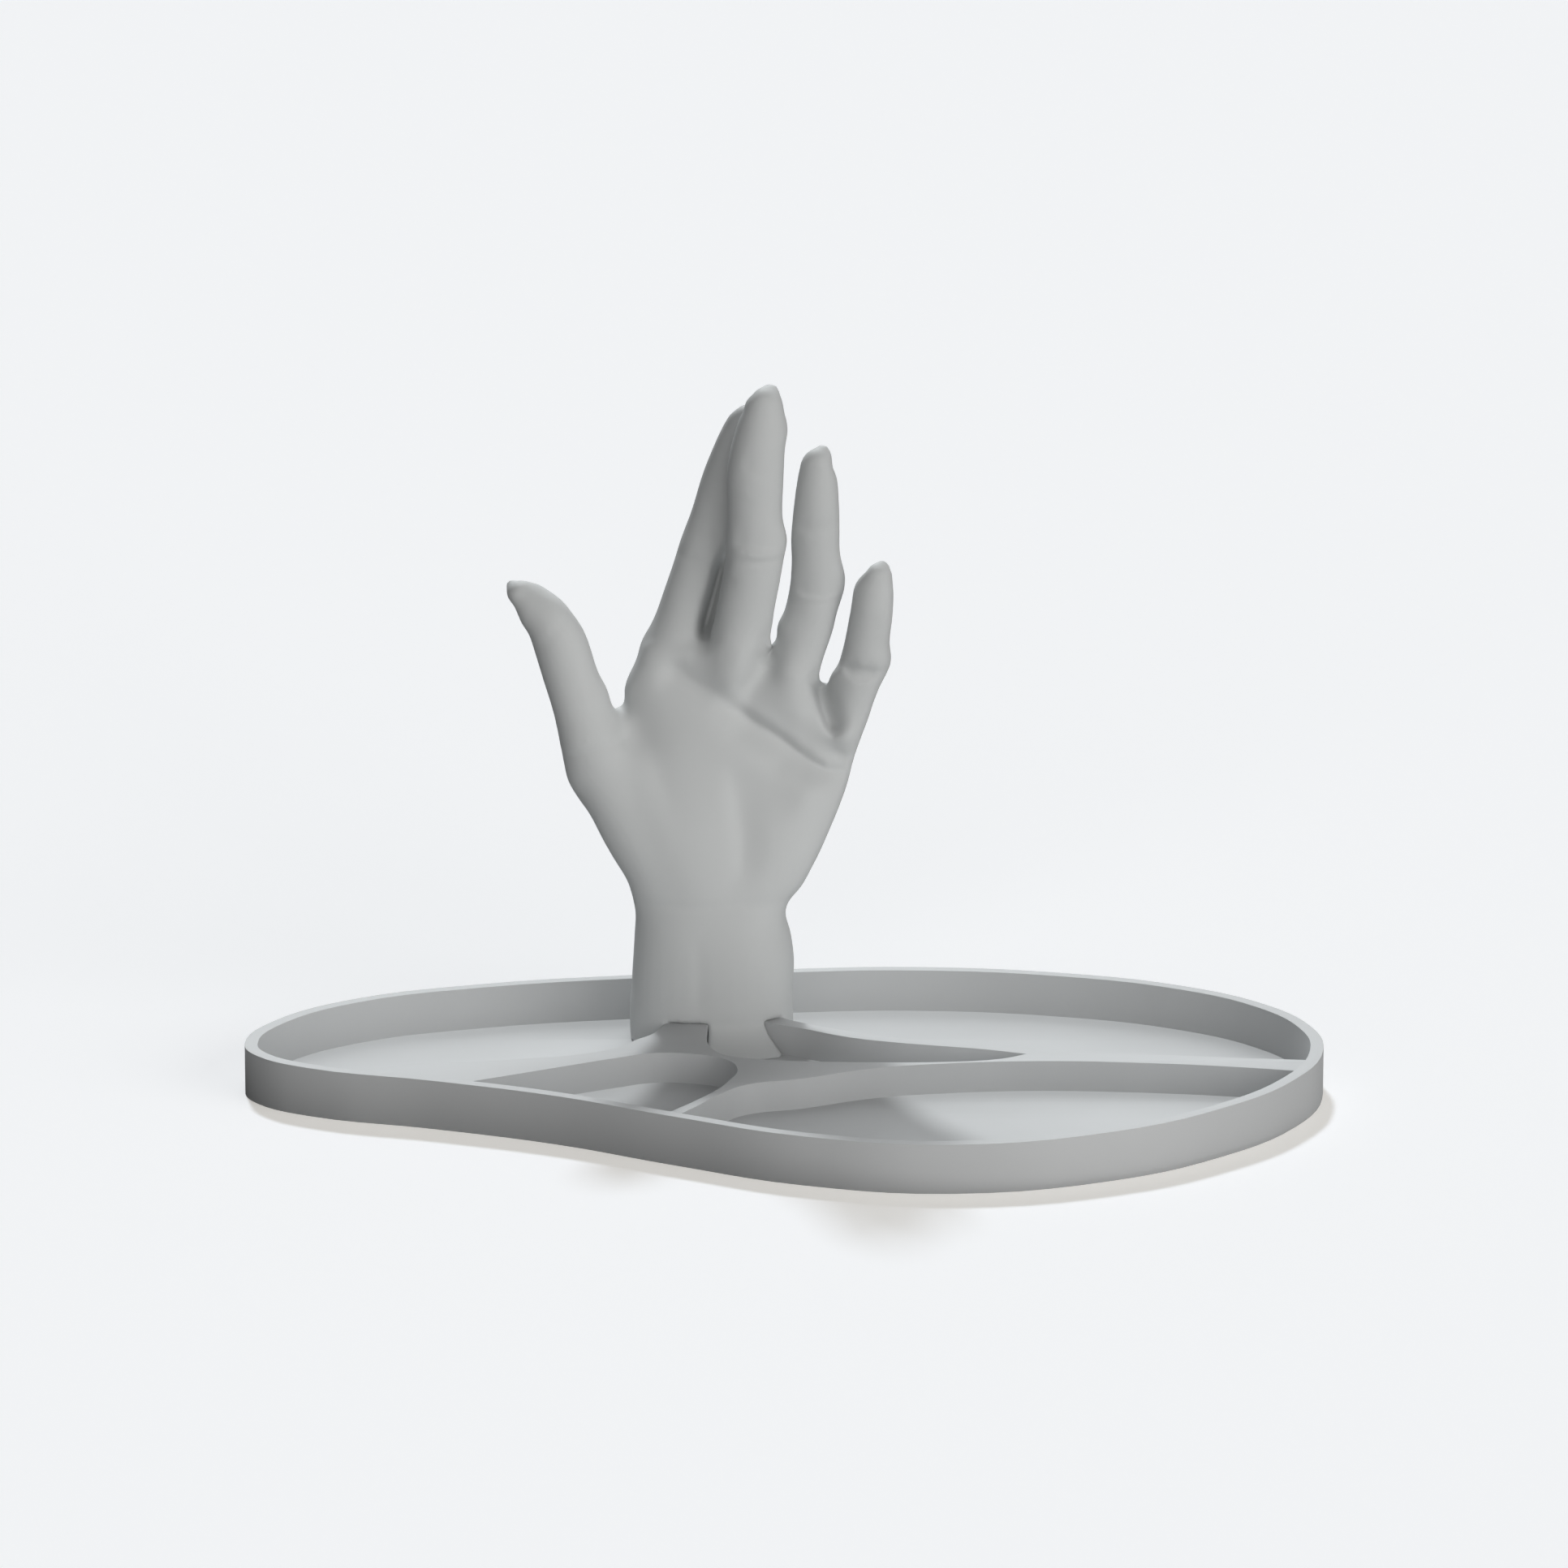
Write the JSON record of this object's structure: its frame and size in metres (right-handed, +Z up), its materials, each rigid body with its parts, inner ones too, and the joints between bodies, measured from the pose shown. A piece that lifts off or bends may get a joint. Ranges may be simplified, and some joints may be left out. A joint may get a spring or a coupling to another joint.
{
  "type": "hand jewelry stand",
  "caption": "Jewelry stand: a pebble-shaped tray with a low rim and curved dividers, and an upright open mannequin hand that holds rings.",
  "frame": {"origin": "middle of the whole stand's bounding box on the surface it stands on, on the tray's underside", "axes": "+X along the tray's length away from the thumb, +Y towards the back of the hand, +Z up; the open palm faces -Y"},
  "size_m": [0.2426, 0.1397, 0.1555],
  "materials": {
    "tray_plastic": "matte, light neutral grey",
    "hand_plastic": "matte, light neutral grey"
  },
  "bodies": {
    "root": {"tray": "tray_plastic", "hand": "hand_plastic"}
  },
  "joints": []
}
